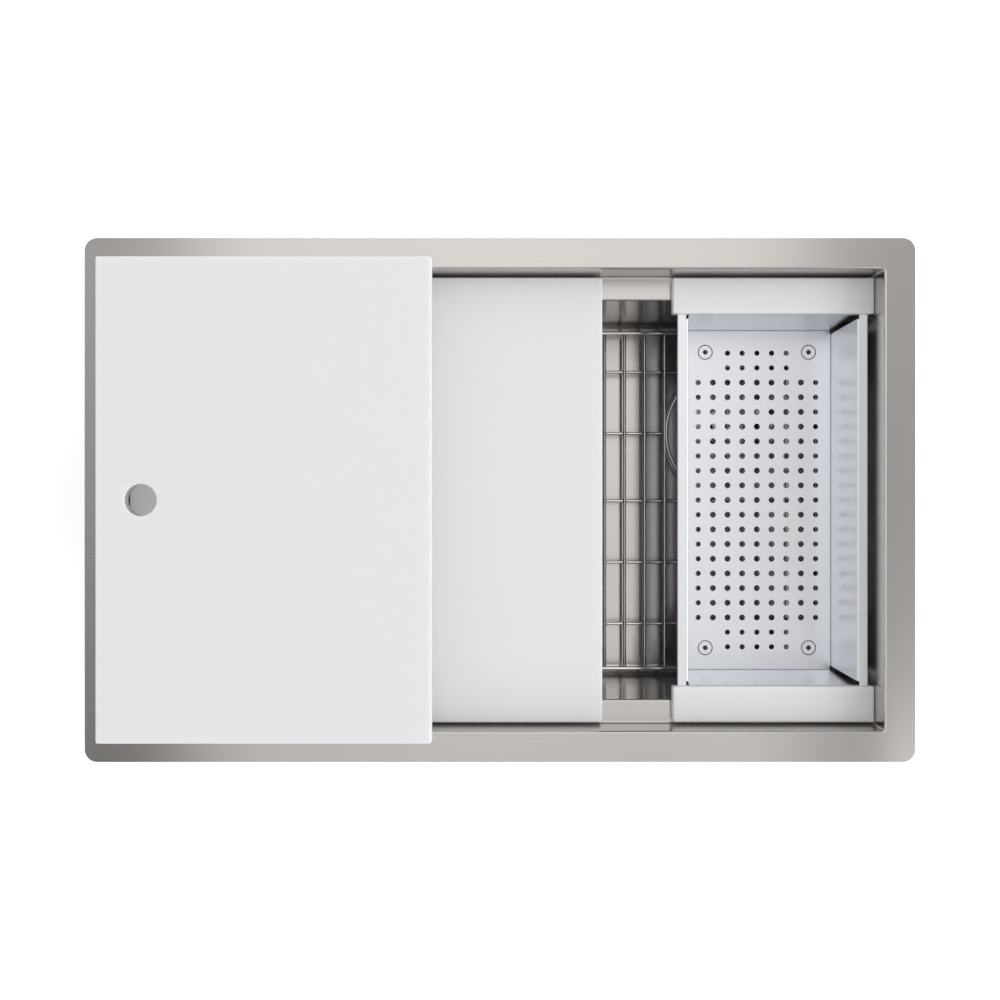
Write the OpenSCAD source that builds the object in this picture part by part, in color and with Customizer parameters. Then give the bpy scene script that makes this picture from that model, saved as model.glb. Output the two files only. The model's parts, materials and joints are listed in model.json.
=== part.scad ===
// Workstation kitchen sink. A folded steel bowl carries sliding boards and a
// sliding colander on two levels, with a wire grid and a basket strainer below.
// X runs to the right, Y to the back and Z up; z = 0 is the top of the rim,
// and the origin is in the middle of the rim. All sizes are in millimetres.

/* [Bowl] */
// Width of the rim, left to right
sink_w = 825.5; // [780:0.5:900]
// Depth of the rim, front to back
sink_d = 520.7; // [500:0.1:560]
// Width of the flat rim round the mouth
rim_w = 30.7; // [26:0.1:34]
// Radius of the rim's outer corners
rim_corner_r = 12.5; // [5:0.5:30]
// Thickness of the steel sheet
sheet_t = 1.5; // [1:0.1:2]
// Depth of the bowl floor below the rim
bowl_h = 250; // [230:1:255]
// Drop from the rim to the front and back ledges
ledge_drop = 50; // [42:1:65]
// Width of each ledge
ledge_w = 24.5; // [18:0.5:30]
// Inside radius of the upright corners
wall_corner_r = 3; // [2.5:0.5:6]
// Inside radius where the walls meet the floor
cove_r = 12; // [8:1:18]
// Radius of the folded edges at the mouth and the ledges
fold_r = 2.2; // [1:0.1:3]

/* [Drain] */
// Drain centre to the right of the middle
drain_x = 269; // [200:1:280]
// Drain centre behind the middle
drain_y = 77.4; // [40:0.1:90]
// Diameter of the drain hole
drain_d = 88.9; // [86.5:0.1:92]
// Depth of the dished recess round the drain
recess_h = 3.5; // [2:0.5:5]
// Outside diameter of the tailpiece
tail_d = 38.1; // [32:0.1:40]
// Length of the tailpiece below its flange
tail_h = 98; // [80:1:120]

/* [Boards] */
// Thickness of both boards
board_t = 15; // [12:1:18]
// Width of the cutting board
cutting_w = 330.6; // [300:0.1:360]
// Distance from the rim's left edge to the cutting board
cutting_inset = 14.9; // [8:0.1:30]
// Depth of the cutting board, front to back
cutting_d = 479.5; // [470:0.5:500]
// Diameter of the cutting board's finger hole
finger_d = 31.4; // [25:0.1:35]
// Distance from the cutting board's left edge to the finger hole
finger_inset = 44.5; // [35:0.5:60]
// Width of the serving board
serving_w = 481.6; // [450:0.1:500]
// Gap between the serving board and the left wall
serving_gap = 4.7; // [1:0.1:12]
// Gap in front of and behind what slides on the ledges
slide_gap = 3; // [1.5:0.1:4]

/* [Colander] */
// Gap between the colander and the right wall
colander_gap = 0.4; // [0.4:0.1:20]
// Width of the moulded end handles
handle_w = 205.5; // [200:0.1:212]
// Depth of each end handle, front to back
handle_d = 36.6; // [32:0.1:38]
// Thickness of the colander's sheet
tray_t = 1.2; // [1:0.1:1.4]
// Inside width of the tray at its floor
tray_floor_w = 160.2; // [156:0.1:162]
// Inside width of the tray at its rails
tray_top_w = 172.4; // [170:0.1:174]
// Depth of the tray floor below the rim
tray_h = 128; // [115:1:145]
// Pitch of the drain holes
hole_pitch = 15.94; // [15:0.02:17]
// Diameter of the drain holes
hole_d = 6.5; // [4:0.1:8]

/* [Bottom grid] */
// Diameter of the frame wire
frame_wire_d = 5; // [4:0.5:6]
// Diameter of the bars
bar_d = 3.5; // [3:0.1:4]
// Number of front-to-back bars
bars = 31; // [23:2:37]
// Height of the frame wire's centre above the floor
grid_h = 25; // [20:1:30]
// Offset of the grid to the right, from its clearance in the bowl
grid_x = 5.65; // [0:0.05:6]
// Radius of the ring over the drain
ring_r = 76.9; // [70:0.1:78]

/* [Hidden] */
$fn = 48;
over = 1; // how far a cutter runs past a face

steel = "#c9c8c6";
polymer = "#e6e6e8";
rubber_grey = "#5c5d5f";
rubber_black = "#2b2c2e";

// The bowl's main planes
mouth_x = sink_w / 2 - rim_w;
mouth_y = sink_d / 2 - rim_w;
lower_y = mouth_y - ledge_w;
floor_z = -bowl_h;
ledge_z = -ledge_drop;

// Sound pads. Those on the walls reach from a drop below the rim to a rise above the floor
pad_t = 3;
pad_r = 14;
pad_drop = 84;
pad_rise = 34;
pad_h = bowl_h - pad_drop - pad_rise;
pad_z = (-pad_drop - bowl_h + pad_rise) / 2;
pad_long_w = 640;
pad_short_w = 320;
floor_pad = [430, 330];
floor_pad_x = -128;
drain_pad = [190, 150];
drain_pad_at = [256, -100];

// The drain, from the recess down
recess_r = 60;
recess_slope = 2.5;
recess_z = floor_z - recess_h;
strainer_flange_r = 57;
strainer_flange_t = 2.2;
cup_r = 41;
cup_wall = 1.9;
cup_h = 40;
cup_z = recess_z - cup_h;
cone_h = 11.5;
outlet_r = 19.5;
spigot_r = 22;
spigot_z = cup_z - cone_h - 14;
seal_t = 3;
fibre_t = 1;
nut_t = 11;
seal_z = recess_z - sheet_t - seal_t;
nut_z = seal_z - fibre_t - nut_t;
tail_washer_t = 2;
tail_flange_t = 1.6;
tail_wall = 1.3;
tail_neck_h = 6;
tail_z = spigot_z - tail_washer_t - tail_flange_t;
coupling_r = 29;
coupling_lip = 3.5;
coupling_h = 18;

// The basket and its stopper
basket_r = 37.5;
basket_low_r = 33;
basket_t = 0.8;
basket_rim_r = 45;
basket_h = 30;
basket_z = recess_z + strainer_flange_t + 0.15;
stopper_r = 25;
stopper_t = 7;
stopper_bevel = 3;
stopper_gap = 0.3;
stopper_low = cup_z - (cup_r - stopper_r + stopper_bevel) * cone_h / (cup_r - outlet_r) + stopper_gap;
stopper_high = stopper_low + stopper_t;
post_r = 3;
post_gap = 0.06;
knob_r = 10;
knob_z = basket_z + 5;

// Boards
cutting_left = -sink_w / 2 + cutting_inset;
serving_left = -mouth_x + serving_gap;
board_edge_r = 1.2;
board_corner_r = 3;
finger_bevel = 0.4;
finger_x = cutting_left + finger_inset;
low_d = 2 * (mouth_y - slide_gap);

// Colander
colander_x = mouth_x - colander_gap - handle_w / 2;
tray_z = -tray_h;
rail_z = ledge_z + 10;
rail_w = 11.3;
rail_lip = 4;
rail_fold_r = 1;
tray_fold_r = 1.2;
handle_y = low_d / 2 - handle_d;
handle_lip = 1;
end_floor_y = handle_y - 6.3;
side_end_low_y = end_floor_y - 3.8;
side_end_high_y = handle_y - 5;
end_half_low = tray_floor_w / 2 - 0.6;
end_half_high = tray_top_w / 2 - 2.6;
seam = 0.9;
tray_lip = 10;
lip_gap = 1;
rail_notch = 2.4;
rail_relief = 2;
slant_w = 30;
rail_tuck = 6;
tuck_gap = 0.2;
end_flange = 12.5;
handle_edge_r = 2;
handle_corner_r = 2.5;
edge_hole_d = 5.7;
rows = 17;
columns = 9;
short_columns = 5;
short_rows = 2;
foot_x = 56.1;
foot_y = 160.4;
foot_plate_r = 7.1;
foot_plate_t = 0.7;
foot_dimple_r = 8.1;
foot_neck_r = 4.5;
foot_stem_r = 2.6;
foot_stem_drop = 0.5;
foot_bead_drop = 0.35;
foot_r = 8;
foot_h = 8;
foot_bore_h = 4;
foot_screw_r = 1.5;
foot_screw_head_r = 3.8;
foot_screw_head_h = 2.4;
foot_screw_z = tray_z - 2.2;
handle_screw_x = 62;
handle_screw_y = handle_y + 7;
handle_screw_r = 1.75;
handle_screw_head_r = 3.6;
handle_screw_head_h = 2;
handle_screw_h = 9;

// Bottom grid
grid_y = -0.9;
grid_z = floor_z + grid_h;
grid_half_x = mouth_x - 13.25;
grid_half_y = lower_y - 11.65;
last_bar = (bars - 1) / 2;
bar_pitch = grid_half_x / (last_bar + 1);
grid_corner_r = 22;
ring_wire_d = 4;
weld = 0.2;
cross_z = grid_z - bar_d + weld;
cross_rows = [148, 77, -1, -72, -143];
grid_foot_bar = last_bar - 1;
grid_foot_r = 7;
bumper_r = 6;
bumper_h = 16;
bumper_x = 265;
bumper_y = 90;

// ---------------------------------------------------------------- shapes

// A flat rectangle with round corners, centred on the origin
module rounded_rect(w, d, r) {
  square([w, d - 2 * r], center = true);
  square([w - 2 * r, d], center = true);
  for (x = [-1, 1], y = [-1, 1])
    translate([x * (w / 2 - r), y * (d / 2 - r)]) circle(r);
}

// A block with round upright corners and softly rounded long edges, base at z = 0
module soft_block(w, d, h, corner_r, edge_r) {
  intersection() {
    linear_extrude(h) rounded_rect(w, d, corner_r);
    translate([0, 0, h / 2]) rotate([90, 0, 0])
      linear_extrude(d + 2, center = true) rounded_rect(w, h, edge_r);
    translate([0, 0, h / 2]) rotate([90, 0, 90])
      linear_extrude(w + 2, center = true) rounded_rect(d, h, edge_r);
  }
}

// Half of a trough's section: a wall at x = half that turns into the floor at z0
module trough(half, z0, z1, r) {
  translate([-half, z0 + r]) square([2 * half, z1 - z0 - r]);
  translate([-half + r, z0]) square([2 * (half - r), r + over]);
  for (x = [-1, 1]) translate([x * (half - r), z0 + r]) circle(r);
}

// What a fold of radius r takes off a square edge, with room to cut on two sides
module fold_cut(r) {
  difference() {
    translate([-over, -r]) square([r + over, r + over]);
    translate([r, -r]) circle(r);
  }
}

// Extrudes a section drawn in Y and Z along X
module along_x(length) {
  rotate([90, 0, 90]) linear_extrude(length, center = true) children();
}

// Extrudes a section drawn in X and Z along Y
module along_y(length) {
  rotate([90, 0, 0]) linear_extrude(length, center = true) children();
}

// A ring turned from a rectangle, from z0 up to z1
module ring(r_in, r_out, z0, z1) {
  rotate_extrude() translate([r_in, z0]) square([r_out - r_in, z1 - z0]);
}

function unit(v) = v / norm(v);
function left_of(v) = [-v[1], v[0]];
function turned(v, a) = [v[0] * cos(a) - v[1] * sin(a), v[0] * sin(a) + v[1] * cos(a)];
function turn_at(p, i) =
  let (a = unit(p[i] - p[i - 1]), b = unit(p[i + 1] - p[i]))
  atan2(a[0] * b[1] - a[1] * b[0], a * b);

// One side of a folded sheet: the centreline p, offset by side and rounded at each fold
function sheet_edge(p, side, r, steps = 6) = [
  p[0] + left_of(unit(p[1] - p[0])) * side,
  for (i = [1 : len(p) - 2])
    let (
      a = unit(p[i] - p[i - 1]),
      turn = turn_at(p, i),
      hand = sign(turn),
      centre = p[i] - a * r * tan(abs(turn) / 2) + left_of(a) * r * hand
    )
    for (k = [0 : steps])
      let (out = left_of(turned(a, turn * k / steps)))
      centre - out * r * hand + out * side,
  p[len(p) - 1] + left_of(unit(p[len(p) - 1] - p[len(p) - 2])) * side
];

// The section of a sheet of thickness t folded along the centreline p
module folded_sheet(p, t, r) {
  back = sheet_edge(p, -t / 2, r);
  polygon(concat(
    sheet_edge(p, t / 2, r),
    [for (i = [len(back) - 1 : -1 : 0]) back[i]]
  ));
}

// ---------------------------------------------------------------- bowl

// The space inside the bowl, grown by g, up to the height top
module bowl_space(g, top) {
  intersection() {
    translate([0, 0, ledge_z - g])
      linear_extrude(top - ledge_z + g)
        rounded_rect(2 * (mouth_x + g), 2 * (mouth_y + g), wall_corner_r + g);
    along_x(sink_w) trough(mouth_y + g, ledge_z - g, top, fold_r + g);
  }
  intersection() {
    translate([0, 0, floor_z - g])
      linear_extrude(ledge_z - floor_z + g)
        rounded_rect(2 * (mouth_x + g), 2 * (lower_y + g), wall_corner_r + g);
    along_x(sink_w) trough(lower_y + g, floor_z - g, ledge_z + over, cove_r + g);
    along_y(sink_d) trough(mouth_x + g, floor_z - g, ledge_z + over, cove_r + g);
  }
}

// Rounds the edge where the rim folds down into the mouth
module mouth_fold() {
  x = mouth_x - wall_corner_r;
  y = mouth_y - wall_corner_r;
  for (s = [0, 180]) rotate([0, 0, s]) {
    translate([mouth_x, 0, 0]) along_y(2 * y) fold_cut(fold_r);
    translate([0, mouth_y, 0]) along_x(2 * x) fold_cut(fold_r);
    translate([x, y, 0]) rotate_extrude(angle = 90) translate([wall_corner_r, 0]) fold_cut(fold_r);
    translate([-x, y, 0]) rotate([0, 0, 90])
      rotate_extrude(angle = 90) translate([wall_corner_r, 0]) fold_cut(fold_r);
  }
}

// Rounds the inner edges of the two ledges
module ledge_fold() {
  for (s = [0, 180]) rotate([0, 0, s])
    translate([0, lower_y, ledge_z]) along_x(2 * (mouth_x - wall_corner_r)) fold_cut(fold_r);
}

module at_drain() {
  translate([drain_x, drain_y, 0]) children();
}

module sink_bowl() {
  color(steel) difference() {
    union() {
      translate([0, 0, -sheet_t]) linear_extrude(sheet_t) rounded_rect(sink_w, sink_d, rim_corner_r);
      bowl_space(sheet_t, 0);
      at_drain() translate([0, 0, recess_z - sheet_t])
        cylinder(h = recess_h, r = recess_r + sheet_t);
    }
    bowl_space(0, over);
    mouth_fold();
    ledge_fold();
    at_drain() {
      translate([0, 0, recess_z])
        cylinder(h = recess_h, r1 = recess_r - recess_slope, r2 = recess_r);
      translate([0, 0, floor_z - over / 2]) cylinder(h = over, r = recess_r);
      translate([0, 0, recess_z - 2 * sheet_t]) cylinder(h = recess_h + sheet_t, d = drain_d);
    }
  }
}

// ---------------------------------------------------------------- sound pads

module pad(w, h) {
  color(rubber_grey) linear_extrude(pad_t) rounded_rect(w, h, pad_r);
}

module pad_bottom() {
  translate([floor_pad_x, 0, floor_z - sheet_t - pad_t]) pad(floor_pad[0], floor_pad[1]);
  translate([drain_pad_at[0], drain_pad_at[1], floor_z - sheet_t - pad_t])
    pad(drain_pad[0], drain_pad[1]);
}

module pad_front() {
  translate([0, -lower_y - sheet_t, pad_z]) rotate([90, 0, 0]) pad(pad_long_w, pad_h);
}

module pad_back() {
  translate([0, lower_y + sheet_t + pad_t, pad_z]) rotate([90, 0, 0]) pad(pad_long_w, pad_h);
}

module pad_left() {
  translate([-mouth_x - sheet_t - pad_t, 0, pad_z]) rotate([90, 0, 90]) pad(pad_short_w, pad_h);
}

module pad_right() {
  translate([mouth_x + sheet_t, 0, pad_z]) rotate([90, 0, 90]) pad(pad_short_w, pad_h);
}

// ---------------------------------------------------------------- strainer

module strainer_body() {
  rim_top = recess_z + strainer_flange_t;
  low = cup_z - cone_h;
  throat = 1.5;
  edge_w = 5;
  edge_t = 0.8;
  color(steel) at_drain() rotate_extrude() polygon([
    [cup_r, cup_z], [cup_r, rim_top - throat], [cup_r + throat, rim_top],
    [strainer_flange_r - edge_w, rim_top], [strainer_flange_r, recess_z + edge_t],
    [strainer_flange_r, recess_z], [cup_r + cup_wall, recess_z],
    [cup_r + cup_wall, cup_z - cup_wall / 2], [spigot_r, low - cup_wall], [spigot_r, spigot_z],
    [outlet_r, spigot_z], [outlet_r, low]
  ]);
}

module strainer_gasket() {
  color(rubber_black) at_drain()
    ring(cup_r + cup_wall, strainer_flange_r, seal_z, seal_z + seal_t);
}

module friction_washer() {
  color("#b79a6c") at_drain()
    ring(cup_r + cup_wall, strainer_flange_r - 1, seal_z - fibre_t, seal_z);
}

// A flanged ring nut with lugs to strike it round
module lock_nut() {
  lugs = 8;
  lug_w = 9;
  flange_t = 3;
  hub_r = cup_r + 6;
  flange_r = strainer_flange_r - 2;
  color("#8d8f92") at_drain() difference() {
    union() {
      translate([0, 0, nut_z + nut_t - flange_t]) cylinder(h = flange_t, r = flange_r);
      translate([0, 0, nut_z]) cylinder(h = nut_t, r = hub_r);
      for (a = [0 : 360 / lugs : 359]) rotate([0, 0, a])
        translate([hub_r - 3, -lug_w / 2, nut_z]) cube([flange_r - hub_r + 2, lug_w, nut_t]);
    }
    translate([0, 0, nut_z - over]) cylinder(h = nut_t + 2 * over, r = cup_r + cup_wall);
  }
}

module tailpiece_washer() {
  color("#e9e6dc") at_drain()
    ring(outlet_r, spigot_r - 0.5, spigot_z - tail_washer_t, spigot_z);
}

// A flanged tube with a slightly narrower neck inside its nut
module tailpiece() {
  bore_r = tail_d / 2 - tail_wall;
  color(steel) at_drain() {
    ring(bore_r, spigot_r - 0.5, tail_z, tail_z + tail_flange_t);
    ring(bore_r, tail_d / 2 - 0.3, tail_z - tail_neck_h, tail_z + tail_flange_t);
    ring(bore_r, tail_d / 2, tail_z - tail_h, tail_z - tail_neck_h);
  }
}

// A slip nut that draws the tailpiece up against its washer
module coupling_nut() {
  ribs = 12;
  rib_w = 5;
  rib_h = 2;
  low = tail_z - coupling_lip;
  color("#8d8f92") at_drain() difference() {
    union() {
      translate([0, 0, low]) cylinder(h = coupling_h, r = coupling_r - rib_h);
      for (a = [0 : 360 / ribs : 359]) rotate([0, 0, a])
        translate([coupling_r - 2 * rib_h, -rib_w / 2, low]) cube([2 * rib_h, rib_w, coupling_h]);
    }
    translate([0, 0, tail_z]) cylinder(h = coupling_h, r = spigot_r);
    translate([0, 0, low - over]) cylinder(h = coupling_h, r = tail_d / 2 + 0.3);
  }
}

// A cup that hangs by its rim in the strainer body
module strainer_basket() {
  low = basket_z - basket_h;
  sleeve_r = post_r + 2.5;
  sleeve_h = 4;
  slot_d = 4.5;
  wall_rows = [7, 14, 21];
  wall_holes = 20;
  floor_rings = [[12, 8], [19, 12], [26, 16]];
  color(steel) at_drain() difference() {
    rotate_extrude() polygon([
      [post_r + post_gap, low], [basket_low_r, low], [basket_r, basket_z],
      [basket_rim_r, basket_z], [basket_rim_r, basket_z + basket_t],
      [basket_r - 1.5 * basket_t, basket_z + basket_t], [basket_low_r - basket_t, low + basket_t],
      [sleeve_r, low + basket_t], [sleeve_r, low + sleeve_h], [post_r + post_gap, low + sleeve_h]
    ]);
    for (z = wall_rows, a = [0 : 360 / wall_holes : 359])
      translate([0, 0, low + z]) rotate([0, 0, a + z]) rotate([0, 90, 0])
        translate([0, 0, basket_low_r - slot_d]) cylinder(h = 3 * slot_d, d = slot_d);
    for (row = floor_rings, a = [0 : 360 / row[1] : 359]) rotate([0, 0, a])
      translate([row[0], 0, low - over]) cylinder(h = basket_t + 2 * over, d = slot_d);
  }
}

module rubber_stopper() {
  color(rubber_black) at_drain() rotate_extrude() polygon([
    [post_r, stopper_low], [stopper_r - stopper_bevel, stopper_low], [stopper_r, stopper_low + 2.2],
    [stopper_r, stopper_high - 1.5], [stopper_r - 1.5, stopper_high], [post_r, stopper_high]
  ]);
}

module stopper_post() {
  head_r = 8;
  head_h = 3.5;
  color(steel) at_drain() {
    translate([0, 0, stopper_low - head_h]) cylinder(h = knob_z - stopper_low + head_h, r = post_r);
    translate([0, 0, stopper_low - head_h]) cylinder(h = head_h, r = head_r);
  }
}

module stopper_knob() {
  color(steel) at_drain() rotate_extrude() polygon([
    [0, knob_z], [post_r + 1, knob_z], [post_r + 1.5, knob_z + 3], [knob_r - 1, knob_z + 4],
    [knob_r, knob_z + 5.5], [knob_r - 1, knob_z + 7], [0, knob_z + 8]
  ]);
}

// ---------------------------------------------------------------- boards

module cutting_board() {
  color(polymer) difference() {
    translate([cutting_left + cutting_w / 2, 0, 0])
      soft_block(cutting_w, cutting_d, board_t, board_corner_r, board_edge_r);
    translate([finger_x, 0, -over]) cylinder(h = board_t + 2 * over, d = finger_d);
    translate([finger_x, 0, board_t - finger_bevel])
      cylinder(h = 2 * finger_bevel, r1 = finger_d / 2, r2 = finger_d / 2 + 2 * finger_bevel);
    translate([finger_x, 0, -finger_bevel])
      cylinder(h = 2 * finger_bevel, r1 = finger_d / 2 + 2 * finger_bevel, r2 = finger_d / 2);
  }
}

module serving_board() {
  color(polymer) translate([serving_left + serving_w / 2, 0, ledge_z])
    soft_block(serving_w, low_d, board_t, board_corner_r, board_edge_r);
}

// ---------------------------------------------------------------- colander

module at_colander() {
  translate([colander_x, 0, 0]) children();
}

// Places a child at each of the four feet
module at_feet() {
  for (x = [-foot_x, foot_x], y = [-foot_y, foot_y]) translate([x, y, 0]) children();
}

// One row of drain holes across the tray, n holes wide; the outermost are smaller
module hole_row(n, y, inner_d) {
  last = (n - 1) / 2;
  for (c = [-last : last])
    translate([c * hole_pitch, y, tray_z - tray_t - over])
      cylinder(h = tray_t + 2 * over, d = abs(c) == last ? edge_hole_d : inner_d, $fn = 24);
}

module colander_floor() {
  half_rows = (rows - 1) / 2;
  color(steel) at_colander() difference() {
    union() {
      translate([0, 0, tray_z - tray_t / 2])
        cube([tray_floor_w - 2 * seam, 2 * (end_floor_y - seam), tray_t], center = true);
      at_feet() translate([0, 0, tray_z - 2 * tray_t]) cylinder(h = tray_t, r = foot_dimple_r + tray_t);
    }
    for (r = [-half_rows : half_rows]) hole_row(columns, r * hole_pitch, hole_d);
    for (s = [-1, 1], r = [1 : short_rows])
      hole_row(short_columns, s * (half_rows + r) * hole_pitch, edge_hole_d);
    at_feet() {
      translate([0, 0, tray_z - tray_t]) cylinder(h = tray_t + over, r = foot_dimple_r);
      translate([0, 0, tray_z - 3 * tray_t]) cylinder(h = 3 * tray_t, r = foot_neck_r);
    }
  }
}

// A long wall: lip under the floor, leaning wall, then the rail with its turned-down lip
module colander_side() {
  mid = tray_t / 2;
  rail_x = tray_top_w / 2;
  color(steel) difference() {
    along_y(2 * (handle_y + rail_tuck)) folded_sheet([
      [tray_floor_w / 2 - tray_lip, tray_z - tray_t - mid],
      [tray_floor_w / 2 + mid - 0.1, tray_z - tray_t - mid],
      [rail_x + mid, rail_z - mid],
      [rail_x + rail_w - mid, rail_z - mid],
      [rail_x + rail_w - mid, rail_z - rail_lip]
    ], tray_t, rail_fold_r);
    for (s = [0, 1]) mirror([0, s, 0]) translate([rail_x + rail_notch - slant_w / 2, 0, 0])
      along_x(slant_w) slant_cut();
  }
}

// Trims a side wall's end to the slant of the end wall beside it
module slant_cut() {
  slope = (side_end_high_y - side_end_low_y) / (rail_z - tray_z);
  low = tray_z - 8;
  high = rail_z + 4;
  polygon([
    [side_end_low_y + slope * (low - tray_z), low], [handle_y + 20, low],
    [handle_y + 20, high], [side_end_low_y + slope * (high - tray_z), high]
  ]);
}

module colander_side_right() {
  at_colander() colander_side();
}

module colander_side_left() {
  at_colander() mirror([1, 0, 0]) colander_side();
}

// A short wall: lip under the floor, leaning wall, then a flange under the handle
module colander_end() {
  mid = tray_t / 2;
  slope = (end_half_high - end_half_low) / (ledge_z - tray_z);
  low = tray_z - 8;
  high = ledge_z + 4;
  color(steel) difference() {
    intersection() {
      along_x(tray_top_w) folded_sheet([
        [end_floor_y - tray_lip, tray_z - tray_t - mid],
        [end_floor_y + mid - 0.1, tray_z - tray_t - mid],
        [handle_y + handle_lip + mid, ledge_z - mid],
        [handle_y + end_flange, ledge_z - mid]
      ], tray_t, tray_fold_r);
      along_y(sink_d) polygon([
        [-end_half_low - slope * (low - tray_z), low], [end_half_low + slope * (low - tray_z), low],
        [end_half_high + slope * (high - ledge_z), high],
        [-end_half_high - slope * (high - ledge_z), high]
      ]);
    }
    for (x = [-1, 1]) translate([x * tray_floor_w / 2, end_floor_y - tray_lip, tray_z - 2 * tray_t])
      cube([2 * (tray_lip + lip_gap), 2 * (tray_lip - lip_gap), 2.2 * tray_t], center = true);
    for (x = [-1, 1]) translate([x * handle_screw_x, handle_screw_y, ledge_z - 2 * tray_t])
      cylinder(h = 3 * tray_t, r = handle_screw_r);
  }
}

module colander_end_back() {
  at_colander() colander_end();
}

module colander_end_front() {
  at_colander() mirror([0, 1, 0]) colander_end();
}

// A moulded end handle with pockets for the two rails and two screws
module colander_handle() {
  rail_x = tray_top_w / 2;
  color(polymer) difference() {
    translate([0, handle_y + handle_d / 2, ledge_z])
      soft_block(handle_w, handle_d, board_t, handle_corner_r, handle_edge_r);
    for (x = [-1, 1]) {
      translate([x * (rail_x + (rail_w + rail_relief) / 2), handle_y + rail_tuck / 2, rail_z - rail_lip / 2])
        cube([rail_w - rail_relief + 2 * tuck_gap, rail_tuck + 2 * tuck_gap, rail_lip + 2 * tuck_gap],
          center = true);
      translate([x * handle_screw_x, handle_screw_y, ledge_z - over])
        cylinder(h = handle_screw_h + over, r = handle_screw_r);
    }
  }
}

module colander_handle_back() {
  at_colander() colander_handle();
}

module colander_handle_front() {
  at_colander() mirror([0, 1, 0]) colander_handle();
}

module colander_handle_screws() {
  color("#b9babc") at_colander()
    for (x = [-1, 1], y = [-1, 1]) translate([x * handle_screw_x, y * handle_screw_y, ledge_z - tray_t]) {
      cylinder(h = handle_screw_h, r = handle_screw_r);
      translate([0, 0, -handle_screw_head_h]) cylinder(h = handle_screw_head_h, r = handle_screw_head_r);
    }
}

// Round steel plates that lie flush in the floor's dimples, on the feet
module colander_foot_plates() {
  color(steel) at_colander() at_feet()
    ring(foot_stem_r, foot_plate_r, tray_z - foot_plate_t, tray_z);
}

// A moulded foot that clasps the dimple, with a bead round the plate and a stem through it.
// A screw from below spreads the stem
module colander_feet() {
  under = tray_z - 2 * tray_t;
  low = under - foot_h;
  bore_r = foot_screw_head_r + 0.6;
  color(rubber_black) at_colander() at_feet() rotate_extrude() polygon([
    [0, foot_screw_z], [foot_screw_r, foot_screw_z], [foot_screw_r, low + foot_bore_h],
    [bore_r, low + foot_bore_h], [bore_r, low], [foot_r, low], [foot_r + 1, low + 1], [foot_r, under],
    [foot_neck_r, under], [foot_neck_r, tray_z - tray_t], [foot_dimple_r, tray_z - tray_t],
    [foot_dimple_r, tray_z - foot_bead_drop], [foot_plate_r, tray_z - foot_bead_drop],
    [foot_plate_r, tray_z - foot_plate_t], [foot_stem_r, tray_z - foot_plate_t],
    [foot_stem_r, tray_z - foot_stem_drop], [0, tray_z - foot_stem_drop]
  ]);
}

module colander_foot_screws() {
  seat_z = tray_z - 2 * tray_t - foot_h + foot_bore_h;
  color("#b9babc") at_colander() at_feet() {
    translate([0, 0, seat_z]) cylinder(h = foot_screw_z - seat_z, r = foot_screw_r);
    translate([0, 0, seat_z - foot_screw_head_h]) cylinder(h = foot_screw_head_h, r = foot_screw_head_r);
  }
}

// ---------------------------------------------------------------- bottom grid

function bar_x(k) = grid_x + k * bar_pitch;
// Half the gap that the ring leaves at a distance d from its centre
function ring_half(d) = sqrt(ring_r * ring_r - d * d);

module at_grid() {
  translate([grid_x, grid_y, grid_z]) children();
}

module grid_frame() {
  x = grid_half_x - grid_corner_r;
  y = grid_half_y - grid_corner_r;
  color(steel) at_grid() for (s = [0, 180]) rotate([0, 0, s]) {
    translate([grid_half_x, 0, 0]) rotate([90, 0, 0]) cylinder(h = 2 * y, d = frame_wire_d, center = true);
    translate([0, grid_half_y, 0]) rotate([0, 90, 0]) cylinder(h = 2 * x, d = frame_wire_d, center = true);
    translate([x, y, 0]) rotate_extrude(angle = 90) translate([grid_corner_r, 0]) circle(d = frame_wire_d);
    translate([-x, y, 0]) rotate([0, 0, 90])
      rotate_extrude(angle = 90) translate([grid_corner_r, 0]) circle(d = frame_wire_d);
  }
}

// A bar from front to back between y0 and y1
module long_bar(x, y0, y1) {
  translate([x, y0, grid_z]) rotate([-90, 0, 0]) cylinder(h = y1 - y0, d = bar_d, $fn = 20);
}

// A bar from left to right between x0 and x1, under the long bars
module cross_bar(y, x0, x1) {
  translate([x0, y, cross_z]) rotate([0, 90, 0]) cylinder(h = x1 - x0, d = bar_d, $fn = 20);
}

// Bars that meet the ring stop at it
module grid_long_bars() {
  y0 = grid_y - grid_half_y + 1;
  y1 = grid_y + grid_half_y - 1;
  color(steel) for (k = [-last_bar : last_bar]) {
    d = bar_x(k) - drain_x;
    if (abs(d) < ring_r) {
      long_bar(bar_x(k), y0, drain_y - ring_half(d));
      long_bar(bar_x(k), drain_y + ring_half(d), y1);
    } else {
      long_bar(bar_x(k), y0, y1);
    }
  }
}

module grid_cross_bars() {
  x0 = grid_x - grid_half_x;
  x1 = grid_x + grid_half_x;
  color(steel) for (y = cross_rows) {
    d = y - drain_y;
    if (abs(d) < ring_r) {
      cross_bar(y, x0, drain_x - ring_half(d));
      cross_bar(y, drain_x + ring_half(d), x1);
    } else {
      cross_bar(y, x0, x1);
    }
  }
}

module grid_drain_ring() {
  color(steel) at_drain() translate([0, 0, grid_z])
    rotate_extrude() translate([ring_r, 0]) circle(d = ring_wire_d);
}

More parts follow.
